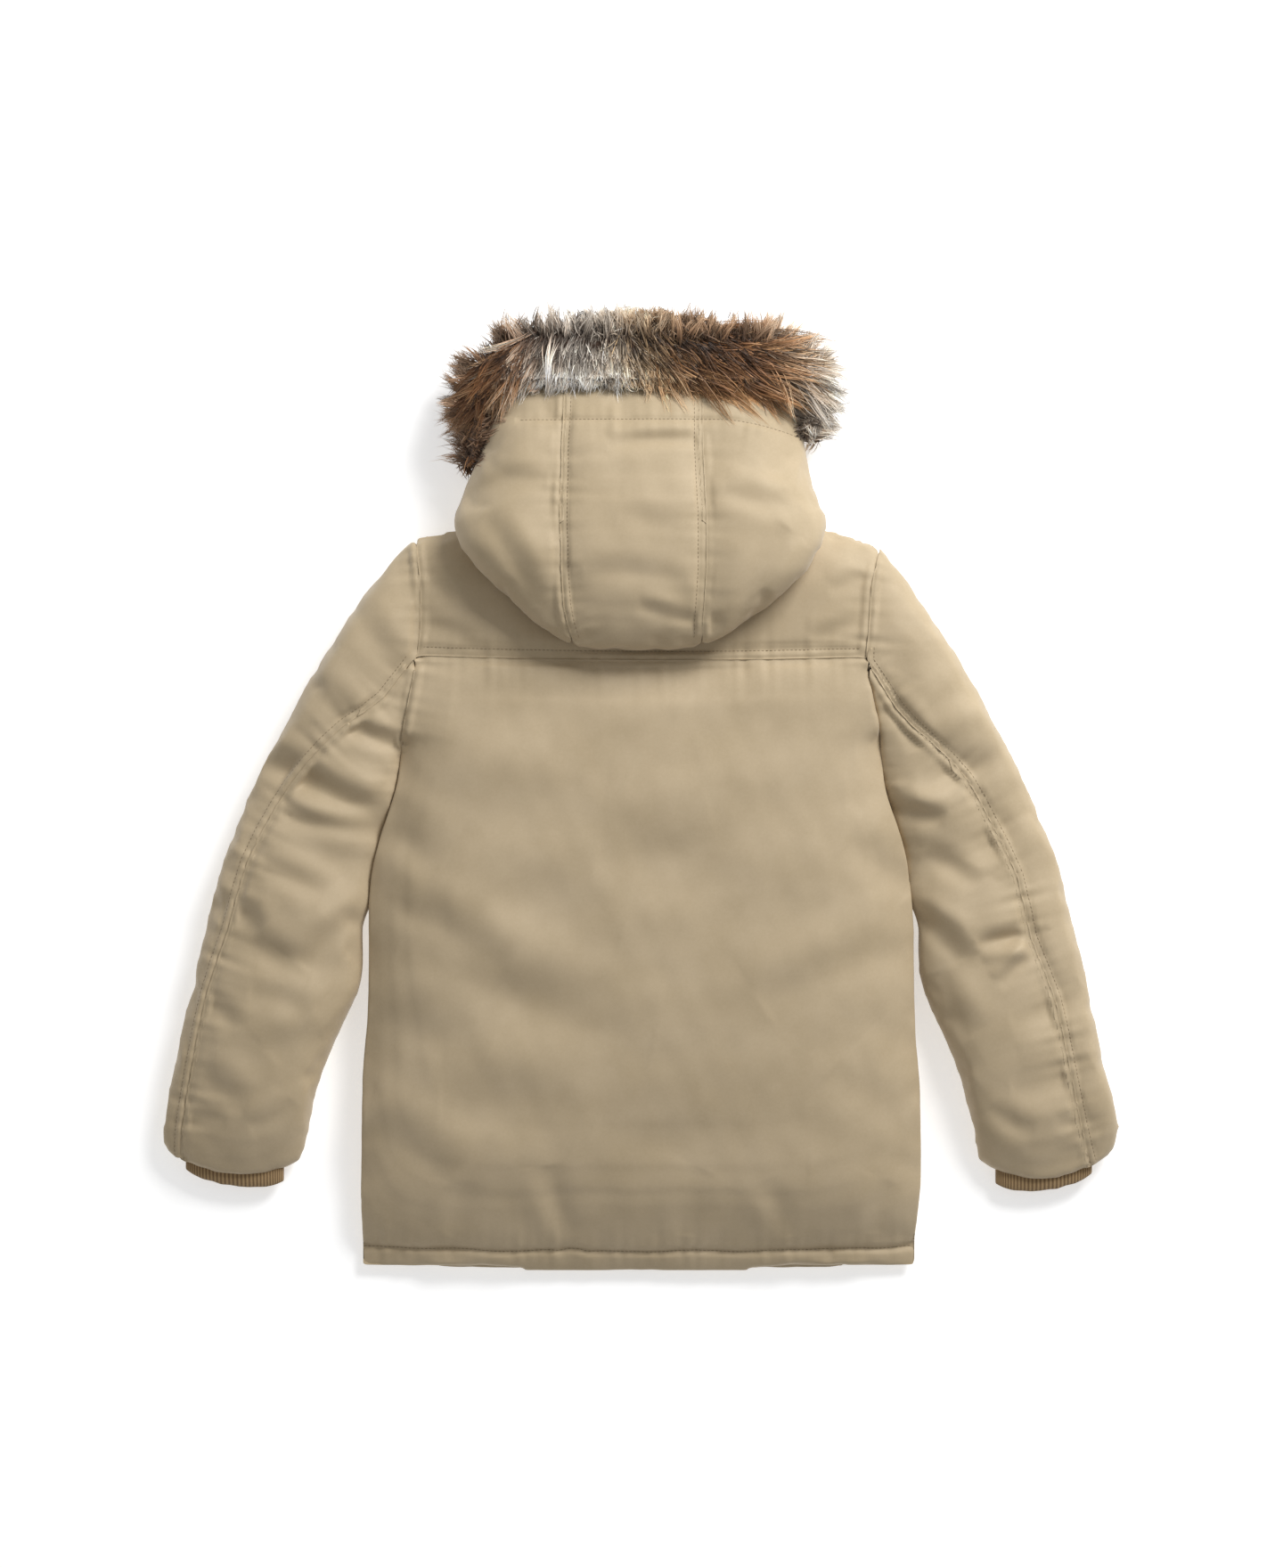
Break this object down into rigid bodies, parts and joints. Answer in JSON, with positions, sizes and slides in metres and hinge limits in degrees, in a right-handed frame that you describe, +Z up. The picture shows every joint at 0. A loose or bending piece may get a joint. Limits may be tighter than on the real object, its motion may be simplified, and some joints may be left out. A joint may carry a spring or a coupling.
{
  "type": "fur trimmed parka",
  "caption": "Child's padded winter parka with a fur trimmed hood, laid flat on its front with its back up.",
  "frame": {"origin": "on the surface the coat lies on, under the middle of its box", "axes": "+X towards the wearer's right sleeve, +Y towards the hood, +Z up from the surface, out of the coat's back"},
  "size_m": [0.862, 0.872, 0.102],
  "materials": {
    "shell_twill": "matt sand coloured cotton-blend twill over padding",
    "rib_knit": "tan rib knit",
    "fur": "long haired fur in browns, taupe and cream"
  },
  "bodies": {
    "root": {"back_panel": "shell_twill", "back_yoke": "shell_twill", "front_left": "shell_twill", "front_right": "shell_twill", "sleeve_left_outer": "shell_twill", "sleeve_left_inner": "shell_twill", "sleeve_right_outer": "shell_twill", "sleeve_right_inner": "shell_twill", "cuff_left": "rib_knit", "cuff_right": "rib_knit", "hood_centre": "shell_twill", "hood_left": "shell_twill", "hood_right": "shell_twill", "fur_trim": "fur"}
  },
  "joints": []
}
